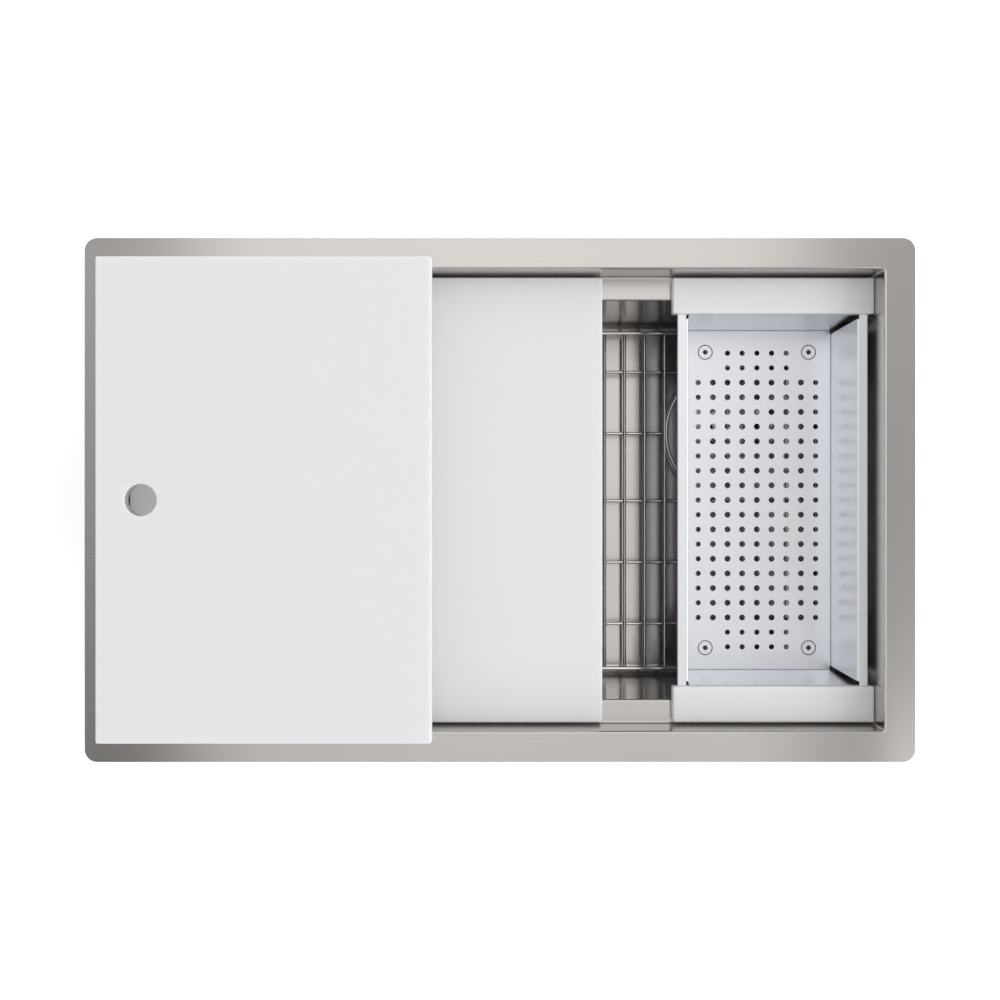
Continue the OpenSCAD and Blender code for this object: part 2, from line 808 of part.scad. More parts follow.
// Feet pushed on where the outer cross bars pass under a long bar
module grid_feet() {
  color(rubber_grey)
    for (k = [-grid_foot_bar, 0, grid_foot_bar], y = [cross_rows[0], cross_rows[4]])
      translate([bar_x(k), y, 0]) difference() {
        translate([0, 0, floor_z]) cylinder(h = grid_z - floor_z - 1, r1 = grid_foot_r - 1, r2 = grid_foot_r);
        translate([0, 0, cross_z]) rotate([0, 90, 0]) cylinder(h = 4 * grid_foot_r, d = bar_d, center = true);
        translate([0, 0, grid_z]) rotate([90, 0, 0]) cylinder(h = 4 * grid_foot_r, d = bar_d, center = true);
      }
}

// A sleeve that keeps the frame off a wall
module bumper() {
  difference() {
    cylinder(h = bumper_h, r = bumper_r, center = true);
    cylinder(h = 2 * bumper_h, d = frame_wire_d, center = true);
  }
}

module grid_bumpers() {
  color(rubber_grey) at_grid() {
    for (x = [-1, 1], y = [-1, 1]) {
      translate([x * grid_half_x, y * bumper_y, 0]) rotate([90, 0, 0]) bumper();
      translate([x * bumper_x, y * grid_half_y, 0]) rotate([0, 90, 0]) bumper();
    }
  }
}

// ---------------------------------------------------------------- assembly

sink_bowl();
pad_bottom();
pad_front();
pad_back();
pad_left();
pad_right();
strainer_body();
strainer_gasket();
friction_washer();
lock_nut();
tailpiece_washer();
coupling_nut();
tailpiece();
cutting_board();
serving_board();
colander_floor();
colander_side_left();
colander_side_right();
colander_end_front();
colander_end_back();
colander_handle_front();
colander_handle_back();
colander_handle_screws();
colander_feet();
colander_foot_plates();
colander_foot_screws();
grid_frame();
grid_long_bars();
grid_cross_bars();
grid_drain_ring();
grid_feet();
grid_bumpers();
strainer_basket();
stopper_post();
stopper_knob();
rubber_stopper();
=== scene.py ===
# %% [markdown]
# # A workstation kitchen sink, dressed in Blender
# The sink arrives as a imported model: every piece is already at its real size and place, and knows which
# moving body it belongs to. This lesson never moves those pieces. It sets up the camera and the light, gives
# each surface its finish, and adds the small forms that make a finish believable.

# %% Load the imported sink
import json
import math

import bpy
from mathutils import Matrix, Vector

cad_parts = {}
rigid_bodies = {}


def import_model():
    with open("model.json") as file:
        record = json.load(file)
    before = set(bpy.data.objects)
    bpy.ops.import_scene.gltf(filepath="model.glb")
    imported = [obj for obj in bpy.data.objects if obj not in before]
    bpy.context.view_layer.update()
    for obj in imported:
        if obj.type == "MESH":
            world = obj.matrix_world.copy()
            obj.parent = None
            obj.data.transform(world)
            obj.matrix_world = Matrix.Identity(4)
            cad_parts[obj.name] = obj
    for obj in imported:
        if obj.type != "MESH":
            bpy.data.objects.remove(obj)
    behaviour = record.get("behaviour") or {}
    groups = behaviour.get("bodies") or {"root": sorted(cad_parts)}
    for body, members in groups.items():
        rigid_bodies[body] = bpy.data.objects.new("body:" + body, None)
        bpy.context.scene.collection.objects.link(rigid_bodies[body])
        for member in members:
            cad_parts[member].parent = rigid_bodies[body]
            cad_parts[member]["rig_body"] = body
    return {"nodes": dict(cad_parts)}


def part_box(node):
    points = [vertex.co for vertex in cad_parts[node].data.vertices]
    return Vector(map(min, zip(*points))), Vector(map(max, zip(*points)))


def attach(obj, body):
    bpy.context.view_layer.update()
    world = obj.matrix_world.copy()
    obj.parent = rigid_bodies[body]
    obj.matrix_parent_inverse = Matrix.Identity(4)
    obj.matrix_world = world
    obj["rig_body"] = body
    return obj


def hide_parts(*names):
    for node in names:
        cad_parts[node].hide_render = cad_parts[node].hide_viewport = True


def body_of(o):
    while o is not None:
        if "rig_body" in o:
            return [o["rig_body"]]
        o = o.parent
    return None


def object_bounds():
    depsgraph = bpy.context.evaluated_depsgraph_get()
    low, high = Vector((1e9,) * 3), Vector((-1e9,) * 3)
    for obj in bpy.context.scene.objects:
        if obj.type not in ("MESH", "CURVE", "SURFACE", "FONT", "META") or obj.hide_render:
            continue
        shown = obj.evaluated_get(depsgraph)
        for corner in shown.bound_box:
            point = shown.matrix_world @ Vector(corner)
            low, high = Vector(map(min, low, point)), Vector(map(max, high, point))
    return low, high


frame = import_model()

nodes = frame["nodes"]
cad_low, cad_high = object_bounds()

# %% [markdown]
# ## Helpers
# Shaders work in linear light, while a maker's colour card is in sRGB, so one function turns a hex colour
# into what a shader wants, and another gives the two shades between which a pattern varies. A node is added
# with its settings and its inputs in one call, and the same way of feeding inputs serves the shader that a
# new material already has. Sizes are given in millimetres and turned to metres by MM.

# %% Helpers for colours and nodes
MM = 0.001


def linear(hex_colour):
    """An sRGB hex colour as linear red, green, blue and alpha."""
    channels = [int(hex_colour[i:i + 2], 16) / 255 for i in (1, 3, 5)]
    return (*[c / 12.92 if c <= 0.04045 else ((c + 0.055) / 1.055) ** 2.4 for c in channels], 1.0)


def shades(hex_colour, contrast):
    """The colour a little darker and a little lighter, both linear."""
    middle = linear(hex_colour)[:3]
    return [tuple(c * part for c in middle) + (1.0,) for part in (1 - contrast, 1 + contrast)]


def feed(node, inputs):
    """Sets a node's inputs to numbers, or links them to a socket or to a node's first output in use."""
    for name, value in inputs.items():
        if isinstance(value, bpy.types.Node):
            value = next(socket for socket in value.outputs if socket.enabled)
        if isinstance(value, bpy.types.NodeSocket):
            node.id_data.links.new(value, node.inputs[name])
        else:
            node.inputs[name].default_value = value
    return node


def add(tree, kind, inputs=None, **settings):
    """A new node of that kind, with its settings made and its inputs fed."""
    node = tree.nodes.new("ShaderNode" + kind)
    for name, value in settings.items():
        setattr(node, name, value)
    return feed(node, inputs or {})


print("a mid grey, #808080, is", round(linear("#808080")[0], 3), "in linear light")

# %% [markdown]
# ## Camera
# The sink is seen from straight above, as in a shop's catalogue: the camera looks down on the middle of the
# rim from 1.38 m, so the bowl's walls show as narrow bands and its floor looks smaller than its mouth. The
# lens is a 50 mm one on a 36 mm wide sensor.

# %% Camera straight above the rim
CAMERA_HEIGHT = 1.380
LENS_MM = 50
SENSOR_MM = 36

scene = bpy.context.scene
camera = bpy.data.objects.new("camera", bpy.data.cameras.new("camera"))
scene.collection.objects.link(camera)
camera.location = (0, 0, CAMERA_HEIGHT)
camera.data.lens = LENS_MM
camera.data.sensor_width = SENSOR_MM
scene.camera = camera
scene.view_settings.view_transform = "Standard"
print("camera at", tuple(camera.location))

# %% [markdown]
# ## Light from a white tent
# Brushed steel shows what it reflects, so the light is built as in a product studio: the sink lies in a
# white tent. The tent's top is brighter towards the back, and a lamp behind the cloth makes a soft glow in
# front on the right. The tent isn't modelled. It is drawn in the world, from the direction of each ray: a
# direction's slope says how far it leans from straight up, so 0 is overhead and 1 is 45 degrees.

# %% The tent's top and its glow
TOP_LEVEL = 0.54              # brightness straight overhead
TOP_RISE = 0.28               # how much brighter the top is at the back, and darker at the front
TOP_RISE_SLOPE = 0.3          # slope at which that rise is complete
TOP_FALL = 0.45               # how fast the top gets darker towards both sides
TOP_END_ACROSS = (0.3, 0.6)   # slopes between which the top ends, towards both sides
TOP_END_ALONG = (0.6, 0.9)    # and towards the front and the back
GLOW_LEVEL = 0.75             # what the glow adds in its middle
GLOW_SLOPE = (0.45, -0.35)    # its middle, to the right and in front
GLOW_RADIUS = 0.40            # how far it reaches, as a slope
LOWEST_RISE = 0.01            # keeps the slope of a level ray finite

world = bpy.data.worlds.new("white_tent")
world.use_nodes = True
scene.world = world
tent = world.node_tree

direction = add(tent, "TexCoord").outputs["Generated"]
height = add(tent, "SeparateXYZ", {"Vector": direction}).outputs["Z"]
raised = add(tent, "Math", {0: height, 1: LOWEST_RISE}, operation="MAXIMUM")
stretch = add(tent, "Math", {0: 1.0, 1: raised}, operation="DIVIDE")
slope = add(tent, "VectorMath", {0: direction, "Scale": stretch}, operation="SCALE")
backwards = add(tent, "SeparateXYZ", {"Vector": slope}).outputs["Y"]
lean = add(tent, "VectorMath", {0: slope}, operation="ABSOLUTE")
across, along, _ = add(tent, "SeparateXYZ", {"Vector": lean}).outputs
rise = add(tent, "MapRange", {"Value": backwards, "From Min": -TOP_RISE_SLOPE, "From Max": TOP_RISE_SLOPE,
                              "To Min": TOP_LEVEL - TOP_RISE, "To Max": TOP_LEVEL + TOP_RISE})
cloth_light = add(tent, "Math", {0: across, 1: -TOP_FALL, 2: rise}, operation="MULTIPLY_ADD")
top_across = add(tent, "MapRange", {"Value": across, "From Min": TOP_END_ACROSS[0],
                                    "From Max": TOP_END_ACROSS[1], "To Min": 1, "To Max": 0})
top_along = add(tent, "MapRange", {"Value": along, "From Min": TOP_END_ALONG[0],
                                   "From Max": TOP_END_ALONG[1], "To Min": 1, "To Max": 0})
from_glow = add(tent, "VectorMath", {0: slope, 1: (*GLOW_SLOPE, 1)}, operation="DISTANCE")
glow = add(tent, "MapRange", {"Value": from_glow, "From Max": GLOW_RADIUS, "To Min": GLOW_LEVEL,
                              "To Max": 0}, interpolation_type="SMOOTHSTEP")
top_light = add(tent, "Math", {0: cloth_light, 1: top_across}, operation="MULTIPLY")
light_above = add(tent, "Math", {0: top_light, 1: top_along, 2: glow}, operation="MULTIPLY_ADD")
print("tent top between", round(TOP_LEVEL - TOP_RISE, 2), "and", round(TOP_LEVEL + TOP_RISE, 2))

# %% [markdown]
# ## The tent's walls
# The left and right walls are lit from outside, the right one far more strongly, and each is brightest where
# it faces the sink squarely. The lit cloth begins a little above the floor. The front and back walls get only
# what light there is in the room. The camera sees plain white in every direction, so the sink stands on a
# white background.

# %% The tent's walls
WALL_LEVEL = 0.5                 # all round
RIGHT_WALL_LEVEL = 2.36          # added where the right wall faces the sink squarely
LEFT_WALL_LEVEL = 0.41           # and where the left wall does
WALL_FOOT = 0.1                  # height of a unit direction where a lit wall begins
WALL_FULL = 0.4                  # and where it is fully lit
WALL_START_ACROSS = (0.6, 0.9)   # slopes between which the side walls begin
SEEN_LEVEL = 1.0                 # what the camera sees of the tent: white

level_part = add(tent, "VectorMath", {0: direction, 1: (1, 1, 0)}, operation="MULTIPLY")
compass = add(tent, "VectorMath", {0: level_part}, operation="NORMALIZE")
to_right = add(tent, "SeparateXYZ", {"Vector": compass}).outputs["X"]
squareness = add(tent, "Math", {0: to_right, 1: to_right}, operation="MULTIPLY")
on_right = add(tent, "Math", {0: to_right, 1: 0.0}, operation="GREATER_THAN")
side_level = add(tent, "Mix", {"Factor": on_right, "A": LEFT_WALL_LEVEL, "B": RIGHT_WALL_LEVEL})
lit_part = add(tent, "MapRange", {"Value": height, "From Min": WALL_FOOT, "From Max": WALL_FULL})
side_light = add(tent, "Math", {0: side_level, 1: lit_part}, operation="MULTIPLY")
wall_light = add(tent, "Math", {0: side_light, 1: squareness, 2: WALL_LEVEL}, operation="MULTIPLY_ADD")
walls_across = add(tent, "MapRange", {"Value": across, "From Min": WALL_START_ACROSS[0],
                                      "From Max": WALL_START_ACROSS[1], "To Min": 1, "To Max": 0})
overhead = add(tent, "Math", {0: walls_across, 1: top_along}, operation="MULTIPLY")
beside = add(tent, "Math", {0: 1.0, 1: overhead}, operation="SUBTRACT")
tent_light = add(tent, "Math", {0: wall_light, 1: beside, 2: light_above}, operation="MULTIPLY_ADD")
is_camera = add(tent, "LightPath").outputs["Is Camera Ray"]
strength = add(tent, "Mix", {"Factor": is_camera, "A": tent_light, "B": SEEN_LEVEL})
feed(tent.nodes["Background"], {"Color": linear("#ffffff"), "Strength": strength})
print("tent drawn with", len(tent.nodes), "nodes")

# %% [markdown]
# ## Softboxes
# Four softboxes hang in the tent, facing straight down. The low one overhead gives the flat rim its broad
# bright band, and its cloth gets dimmer towards its left and right edges, so the band fades out. The one in
# front on the right lights that corner. The long strips hang high on both sides, where no flat surface
# mirrors them to the camera, and light the boards. Their places and sizes are in metres.

# %% Four softboxes
def softbox(name, centre, width, depth, radiance, soft_edge=0.0):
    """A rectangular lamp that faces straight down. Its power follows from its radiance, and its left and
    right edges fade out over soft_edge."""
    lamp = bpy.data.lights.new(name, "AREA")
    lamp.shape = "RECTANGLE"
    lamp.size = width
    lamp.size_y = depth
    lamp.energy = radiance * math.pi * width * depth
    if soft_edge:
        lamp.use_nodes = True
        cloth = lamp.node_tree
        corner = add(cloth, "NewGeometry").outputs["Parametric"]
        from_left = add(cloth, "SeparateXYZ", {"Vector": corner}).outputs["X"]
        from_middle = add(cloth, "Math", {0: from_left, 1: 0.5}, operation="SUBTRACT")
        off_centre = add(cloth, "Math", {0: from_middle}, operation="ABSOLUTE")
        fade = add(cloth, "MapRange", {"Value": off_centre, "From Min": 0.5,
                                       "From Max": 0.5 - soft_edge / width}, interpolation_type="SMOOTHSTEP")
        feed(cloth.nodes["Emission"], {"Strength": fade})
    box = bpy.data.objects.new(name, lamp)
    scene.collection.objects.link(box)
    box.location = centre
    box.visible_camera = False
    print(name, "power", round(lamp.energy, 1), "W")


softbox("overhead_softbox", (0, 0.136, 1.6), width=1.66, depth=2.31, radiance=0.515, soft_edge=0.32)
softbox("front_softbox", (1.327, -1.157, 1.6), width=1.02, depth=1.29, radiance=0.72)
softbox("left_strip", (-2.4, 0, 4.0), width=1.2, depth=3.6, radiance=0.86)
softbox("right_strip", (2.4, 0, 4.0), width=1.2, depth=3.6, radiance=0.55)

# %% [markdown]
# ## Floor
# The sink stands over a plain white floor. What the camera and the reflections see of it is a little brighter
# than its real colour, so the open floor comes out white, and the sink's own shadow still darkens it.

# %% White floor under the sink
FLOOR_SIZE = 12                        # metres
FLOOR_COLOUR = (0.80, 0.80, 0.80, 1)   # linear: what lights the sink from below
FLOOR_SEEN = (1.6, 1.6, 1.6, 1)        # linear: what the camera and the reflections see

bpy.ops.mesh.primitive_plane_add(size=FLOOR_SIZE, location=(0, 0, cad_low[2]))
floor = bpy.context.object
floor.name = "studio_floor"
floor_paint = bpy.data.materials.new("white_floor_paint")
floor_paint.use_nodes = True
tree = floor_paint.node_tree
tree.nodes.clear()
rays = add(tree, "LightPath").outputs
camera_or_gloss = add(tree, "Math", {0: rays["Is Camera Ray"], 1: rays["Is Glossy Ray"]}, operation="ADD")
looking = add(tree, "Math", {0: camera_or_gloss, 1: rays["Is Transmission Ray"]}, operation="ADD",
              use_clamp=True)
white = add(tree, "Mix", {"Factor": looking, "A": FLOOR_COLOUR, "B": FLOOR_SEEN}, data_type="RGBA")
add(tree, "OutputMaterial", {"Surface": add(tree, "BsdfDiffuse", {"Color": white})})
floor.data.materials.append(floor_paint)
print("floor at", round(cad_low[2], 4), "m")

# %% [markdown]
# ## Stainless steels
# All the sheet and wire here is stainless steel, but each kind is finished its own way. The bowl's sheet is
# brushed along its length with a belt before it is folded. The fine grooves all run left to right, so a
# reflection stays fairly sharp along them and is drawn out across them: that is what the shader's anisotropy
# does. Walls that face left or right were brushed along their own length, so the grooves turn there. Real
# grooves are a tenth of a millimetre wide, too fine to show, so the pattern is drawn about ten times coarser.

# %% Brushed sheet for the bowl
END_WALL_FACING = 0.7   # a surface whose normal leans this far to a side belongs to an end wall
GROOVE_DETAIL = 3.0
GROOVE_RAGGEDNESS = 0.6


def brushed_steel(name, colour, roughness, anisotropy, groove_mm, length_mm, depth_mm, contrast):
    """Stainless steel brushed along X, and along Y on walls that face left or right."""
    finish = bpy.data.materials.new(name)
    finish.use_nodes = True
    tree = finish.node_tree
    position = add(tree, "TexCoord").outputs["Object"]
    normal = add(tree, "NewGeometry").outputs["Normal"]
    facing_x = add(tree, "SeparateXYZ", {"Vector": normal}).outputs["X"]
    facing_side = add(tree, "Math", {0: facing_x}, operation="ABSOLUTE")
    end_wall = add(tree, "Math", {0: facing_side, 1: END_WALL_FACING}, operation="GREATER_THAN")
    across = 1 / (groove_mm * MM)
    along = 1 / (length_mm * MM)
    stretch = add(tree, "Mix", {"Factor": end_wall, "A": (along, across, across),
                                "B": (across, along, across)}, data_type="VECTOR")
    stretched = add(tree, "VectorMath", {0: position, 1: stretch}, operation="MULTIPLY")
    grooves = add(tree, "TexNoise", {"Vector": stretched, "Scale": 1.0, "Detail": GROOVE_DETAIL,
                                     "Roughness": GROOVE_RAGGEDNESS})
    dark, light = shades(colour, contrast)
    tint = add(tree, "Mix", {"Factor": grooves, "A": dark, "B": light}, data_type="RGBA")
    groove_line = add(tree, "Mix", {"Factor": end_wall, "A": (1, 0, 0), "B": (0, 1, 0)}, data_type="VECTOR")
    tangent = add(tree, "VectorMath", {0: normal, 1: groove_line}, operation="CROSS_PRODUCT")
    bump = add(tree, "Bump", {"Height": grooves, "Distance": depth_mm * MM, "Strength": 1.0})
    feed(tree.nodes["Principled BSDF"], {
        "Base Color": tint, "Metallic": 1.0, "Roughness": roughness, "Anisotropic": anisotropy,
        "Tangent": tangent, "Normal": bump})
    print(name, "grooves", groove_mm, "mm wide")
    return finish


# Sheet of type 304, belt brushed: a warm pale grey with long streaks, which draw reflections out across them.
satin_steel = brushed_steel("brushed_304_sheet", "#cbc7c3", roughness=0.18, anisotropy=0.90,
                            groove_mm=1.2, length_mm=90, depth_mm=0.001, contrast=0.05)

# %% Steels for the colander, the grid and the drain
# The colander's thinner sheet, rolled satin: cooler and lighter, and it blurs evenly in every direction.
tray_steel = brushed_steel("satin_tray_steel", "#e6e8ec", roughness=0.30, anisotropy=0.0,
                           groove_mm=0.8, length_mm=20, depth_mm=0.001, contrast=0.03)
# Wire drawn through a die: smooth and bright, with a sharp highlight along its length.
wire_steel = brushed_steel("drawn_wire_steel", "#e8e6e2", roughness=0.09, anisotropy=0.0,
                           groove_mm=0.5, length_mm=20, depth_mm=0.0005, contrast=0.03)
# Drain parts, pressed and then polished: nearly a mirror, and neutral in colour.
bright_steel = brushed_steel("polished_drain_steel", "#dadada", roughness=0.12, anisotropy=0.0,
                             groove_mm=0.5, length_mm=20, depth_mm=0.0005, contrast=0.02)

# %% [markdown]
# ## Sprayed undercoat
# The outside of such a bowl is sprayed with a thick grey coat, which stops condensation and drumming. It ends
# a little under the rim in a soft, uneven edge. The bowl is one sheet, so the coat is drawn by the same
# material: a point is coated where its surface faces down, or where it belongs to a wall and faces away from
# the middle of the bowl. The coat is a dull paint with a coarse speckle, so there the surface is not a metal.

# %% Where the bowl is coated
COAT_START_MM = 9       # the coat's edge lies this far under the rim
COAT_DRIFT_MM = 6       # and wanders down by up to this much
DRIFT_SIZE_MM = 25      # over about this length
EDGE_SOFTNESS_MM = 1
WALL_END_MM = 245       # below this depth only the way a surface faces decides
TILT = 0.05             # how far a wall's normal may tip up or down

tree = satin_steel.node_tree
position = add(tree, "TexCoord").outputs["Object"]
place_z = add(tree, "SeparateXYZ", {"Vector": position}).outputs["Z"]
normal = add(tree, "NewGeometry").outputs["Normal"]
facing_z = add(tree, "SeparateXYZ", {"Vector": normal}).outputs["Z"]
level_normal = add(tree, "VectorMath", {0: normal, 1: (1, 1, 0)}, operation="MULTIPLY")
from_middle = add(tree, "VectorMath", {0: level_normal, 1: position}, operation="DOT_PRODUCT")
faces_out = add(tree, "Math", {0: from_middle, 1: 0.0}, operation="GREATER_THAN")
on_wall = add(tree, "Math", {0: place_z, 1: -WALL_END_MM * MM}, operation="GREATER_THAN")
not_up = add(tree, "Math", {0: facing_z, 1: TILT}, operation="LESS_THAN")
faces_down = add(tree, "Math", {0: facing_z, 1: -TILT}, operation="LESS_THAN")
out_on_wall = add(tree, "Math", {0: faces_out, 1: on_wall}, operation="MULTIPLY")
outer_wall = add(tree, "Math", {0: out_on_wall, 1: not_up}, operation="MULTIPLY")
outside = add(tree, "Math", {0: outer_wall, 1: faces_down}, operation="MAXIMUM")
drift = add(tree, "TexNoise", {"Vector": position, "Scale": 1 / (DRIFT_SIZE_MM * MM), "Detail": 2.0})
uneven_z = add(tree, "Math", {0: drift, 1: COAT_DRIFT_MM * MM, 2: place_z}, operation="MULTIPLY_ADD")
below_edge = add(tree, "MapRange", {
    "Value": uneven_z, "From Min": -(COAT_START_MM + EDGE_SOFTNESS_MM) * MM,
    "From Max": -(COAT_START_MM - EDGE_SOFTNESS_MM) * MM, "To Min": 1, "To Max": 0})
coated = add(tree, "Math", {0: outside, 1: below_edge}, operation="MULTIPLY")
print("coat starts between", COAT_START_MM, "and", COAT_START_MM + COAT_DRIFT_MM, "mm under the rim")

# %% What the coat looks like
# Water-based anti-drumming paint, sprayed on thick: matt mid grey, with specks two millimetres wide.
COAT_LIGHT = "#8d9092"
COAT_DARK = "#858789"
COAT_ROUGHNESS = 0.9
COAT_SPECK_MM = 2.2
COAT_DEPTH_MM = 0.35

shader = tree.nodes["Principled BSDF"]
steel_colour = shader.inputs["Base Color"].links[0].from_socket
steel_normal = shader.inputs["Normal"].links[0].from_socket
steel_roughness = shader.inputs["Roughness"].default_value
specks = add(tree, "TexNoise", {"Vector": position, "Scale": 1 / (COAT_SPECK_MM * MM), "Detail": 3.0})
coat_colour = add(tree, "Mix", {"Factor": specks, "A": linear(COAT_DARK), "B": linear(COAT_LIGHT)},
                  data_type="RGBA")
seen_colour = add(tree, "Mix", {"Factor": coated, "A": steel_colour, "B": coat_colour}, data_type="RGBA")
bare = add(tree, "Math", {0: 1.0, 1: coated}, operation="SUBTRACT")
dullness = add(tree, "MapRange", {"Value": coated, "To Min": steel_roughness, "To Max": COAT_ROUGHNESS})
bumps = add(tree, "Bump", {"Height": specks, "Distance": COAT_DEPTH_MM * MM, "Strength": coated,
                           "Normal": steel_normal})
feed(shader, {"Base Color": seen_colour, "Metallic": bare, "Roughness": dullness, "Normal": bumps})
print("coat specks", COAT_SPECK_MM, "mm wide")

# %% [markdown]
# ## Moulded, cast and pressed finishes
# These parts take the fine grain of their mould or press. Plastics and rubbers all have an IOR near 1.5,
# which the shader already has, so they differ in colour, gloss and grain. Frosted polypropylene also lets
# light in: some comes out beside where it went in, which softens every edge, and some passes right through.
# Only shadow rays and diffuse rays find the piece partly clear, so light reaches what lies behind it, and the
# camera still sees a solid board. A real frost is finer than a tenth of a millimetre and wouldn't show, so
# the grains are drawn one to two millimetres wide.

# %% Frosted polypropylene for the boards and handles
def moulded(name, colour, roughness, grain_mm, depth_mm, contrast=0.03, scatter_mm=0.0, passes=0.0):
    """Plastic, rubber or a dull casting with a fine grain; passes is the share of light it lets through."""
    finish = bpy.data.materials.new(name)
    finish.use_nodes = True
    tree = finish.node_tree
    shader = tree.nodes["Principled BSDF"]
    position = add(tree, "TexCoord").outputs["Object"]
    grain = add(tree, "TexNoise", {"Vector": position, "Scale": 1 / (grain_mm * MM), "Detail": 2.0})
    dark, light = shades(colour, contrast)
    tint = add(tree, "Mix", {"Factor": grain, "A": dark, "B": light}, data_type="RGBA")
    bump = add(tree, "Bump", {"Height": grain, "Distance": depth_mm * MM, "Strength": 1.0})
    feed(shader, {"Base Color": tint, "Normal": bump, "Roughness": roughness})
    if scatter_mm:
        feed(shader, {"Subsurface Weight": 1.0, "Subsurface Radius": (1.0, 1.0, 1.0),
                      "Subsurface Scale": scatter_mm * MM})
    if passes:
        rays = add(tree, "LightPath").outputs
        clear = add(tree, "BsdfTransparent")
        thin = add(tree, "MixShader", {0: passes, 1: shader, 2: clear})
        for_shadows = add(tree, "MixShader", {0: rays["Is Shadow Ray"], 1: shader, 2: thin})
        for_all = add(tree, "MixShader", {0: rays["Is Diffuse Ray"], 1: for_shadows, 2: thin})
        feed(tree.nodes["Material Output"], {"Surface": for_all})
    print(name, "grain", grain_mm, "mm")
    return finish


# Moulded against a spark-eroded tool, which leaves a fine even frost: a milky, slightly cool white without
# sharp reflections.
frosted_values = dict(colour="#e7e7e9", roughness=0.42, grain_mm=1.6, depth_mm=0.03, scatter_mm=6,
                      passes=0.62)
frosted_polymer = moulded("frosted_polypropylene", **frosted_values)
# The cutting board's copy of this finish also gets painted shade on its finger hole's wall, below.
hole_shade_polymer = moulded("polypropylene_with_painted_hole_shade", **frosted_values)

# %% [markdown]
# ## Painted shade in the finger hole
# The cutting board gets a finish of its own: the same polymer, with painted shade on surfaces that stand
# upright within the finger hole's radius. The darker grey there stands in for the shade that falls on the
# hole's wall.

# %% Painted shade on the wall inside the finger hole
HOLE_CENTRE_MM = (-353.35, 0.0)   # with the board at rest
HOLE_RADIUS_MM = 15.7
BORE_MARGIN_MM = 0.3              # takes in the whole of the round wall
UPRIGHT = 0.5                     # a normal that tips up or down by less than this is on an upright surface
# Painted shade: a darker grey that stands in for the shade falling on the hole's upright wall.
HOLE_SHADE_COLOUR = "#a9a9aa"

tree = hole_shade_polymer.node_tree
shader = tree.nodes["Principled BSDF"]
board_place = add(tree, "TexCoord").outputs["Object"]
hole_axis = (HOLE_CENTRE_MM[0] * MM, HOLE_CENTRE_MM[1] * MM, 0)
from_centre = add(tree, "VectorMath", {0: board_place, 1: hole_axis}, operation="SUBTRACT")
level_offset = add(tree, "VectorMath", {0: from_centre, 1: (1, 1, 0)}, operation="MULTIPLY")
offset = add(tree, "VectorMath", {0: level_offset}, operation="LENGTH")
near = add(tree, "Math", {0: offset, 1: (HOLE_RADIUS_MM + BORE_MARGIN_MM) * MM}, operation="LESS_THAN")
board_normal = add(tree, "NewGeometry").outputs["Normal"]
board_facing = add(tree, "SeparateXYZ", {"Vector": board_normal}).outputs["Z"]
tip = add(tree, "Math", {0: board_facing}, operation="ABSOLUTE")
upright = add(tree, "Math", {0: tip, 1: UPRIGHT}, operation="LESS_THAN")
painted_shade = add(tree, "Math", {0: near, 1: upright}, operation="MULTIPLY")
moulded_colour = shader.inputs["Base Color"].links[0].from_socket
colour_with_hole_shade = add(tree, "Mix", {"Factor": painted_shade, "A": moulded_colour, "B": linear(HOLE_SHADE_COLOUR)},
                   data_type="RGBA")
feed(shader, {"Base Color": colour_with_hole_shade})
print("bored wall within", HOLE_RADIUS_MM, "mm of the hole's axis")

# %% [markdown]
# ## Who gets which finish
# The record names a material slot for each piece. Every slot gets one finish, and the cutting board then
# takes the one with painted shade in its finger hole. The small parts under the sink are named for what they
# are made of.

# %% All finishes by slot
finishes = {
    "satin_steel": satin_steel,
    "tray_steel": tray_steel,
    "wire_steel": wire_steel,
    "bright_steel": bright_steel,
    "white_polymer": frosted_polymer,
    # Butyl rubber with mineral filler, rolled to a mat: dark and dull, with a coarse skin.
    "sound_pad": moulded("butyl_sound_pad", "#5a5b5e", roughness=0.8, grain_mm=2.0, depth_mm=0.2),
    # Thermoplastic rubber, moulded: matt mid grey with a fine skin.
    "grey_rubber": moulded("grey_tpe_rubber", "#6b6c6f", roughness=0.7, grain_mm=1.0, depth_mm=0.02),
    # Nitrile rubber, moulded: nearly black, with a faint sheen.
    "black_rubber": moulded("black_nbr_rubber", "#2b2c2e", roughness=0.6, grain_mm=1.0, depth_mm=0.02),
    # Vulcanised fibre, pressed and punched: tan and quite dull.
    "fibre": moulded("pressed_fibre", "#b79a6c", roughness=0.9, grain_mm=0.8, depth_mm=0.05),
    # Zinc casting, left plain: its skin of oxide is a dull grey, so it isn't treated as a bare metal.
    "cast_nut": moulded("plain_zinc_casting", "#9a9c9e", roughness=0.45, grain_mm=1.0, depth_mm=0.03),
    # Polyethylene, moulded: waxy and off-white.
    "clear_washer": moulded("clear_polyethylene", "#e9e6dc", roughness=0.35, grain_mm=1.0, depth_mm=0.01),
}
print("finishes for", len(finishes), "slots")

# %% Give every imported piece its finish
slots = {}
for node_name, packed in nodes.items():
    slots[node_name] = packed.data.materials[0].name.split(".")[0]
    packed.material_slots[0].material = finishes[slots[node_name]]
# The cutting board takes the finish with painted shade on its finger hole's wall.
nodes["cutting_board"].material_slots[0].material = hole_shade_polymer
print("finished", len(nodes), "pieces")

# %% [markdown]
# ## Rounded edges
# Cut pads, cast nuts and screw heads have no knife-sharp edges. Each of these pieces is a copy of the packed
# one: its loose triangles are merged and its flat faces joined up, and a bevel then rounds every sharp edge.
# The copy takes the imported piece's place, so its size and seat stay as they were.

# %% Copies with rounded edges
MERGE_MM = 0.01
FLAT_ANGLE = math.radians(1)      # faces this close to level with each other become one
SHARP_ANGLE = math.radians(40)    # edges sharper than this are rounded
SMOOTH_ANGLE = math.radians(35)   # and edges flatter than this are shaded smooth


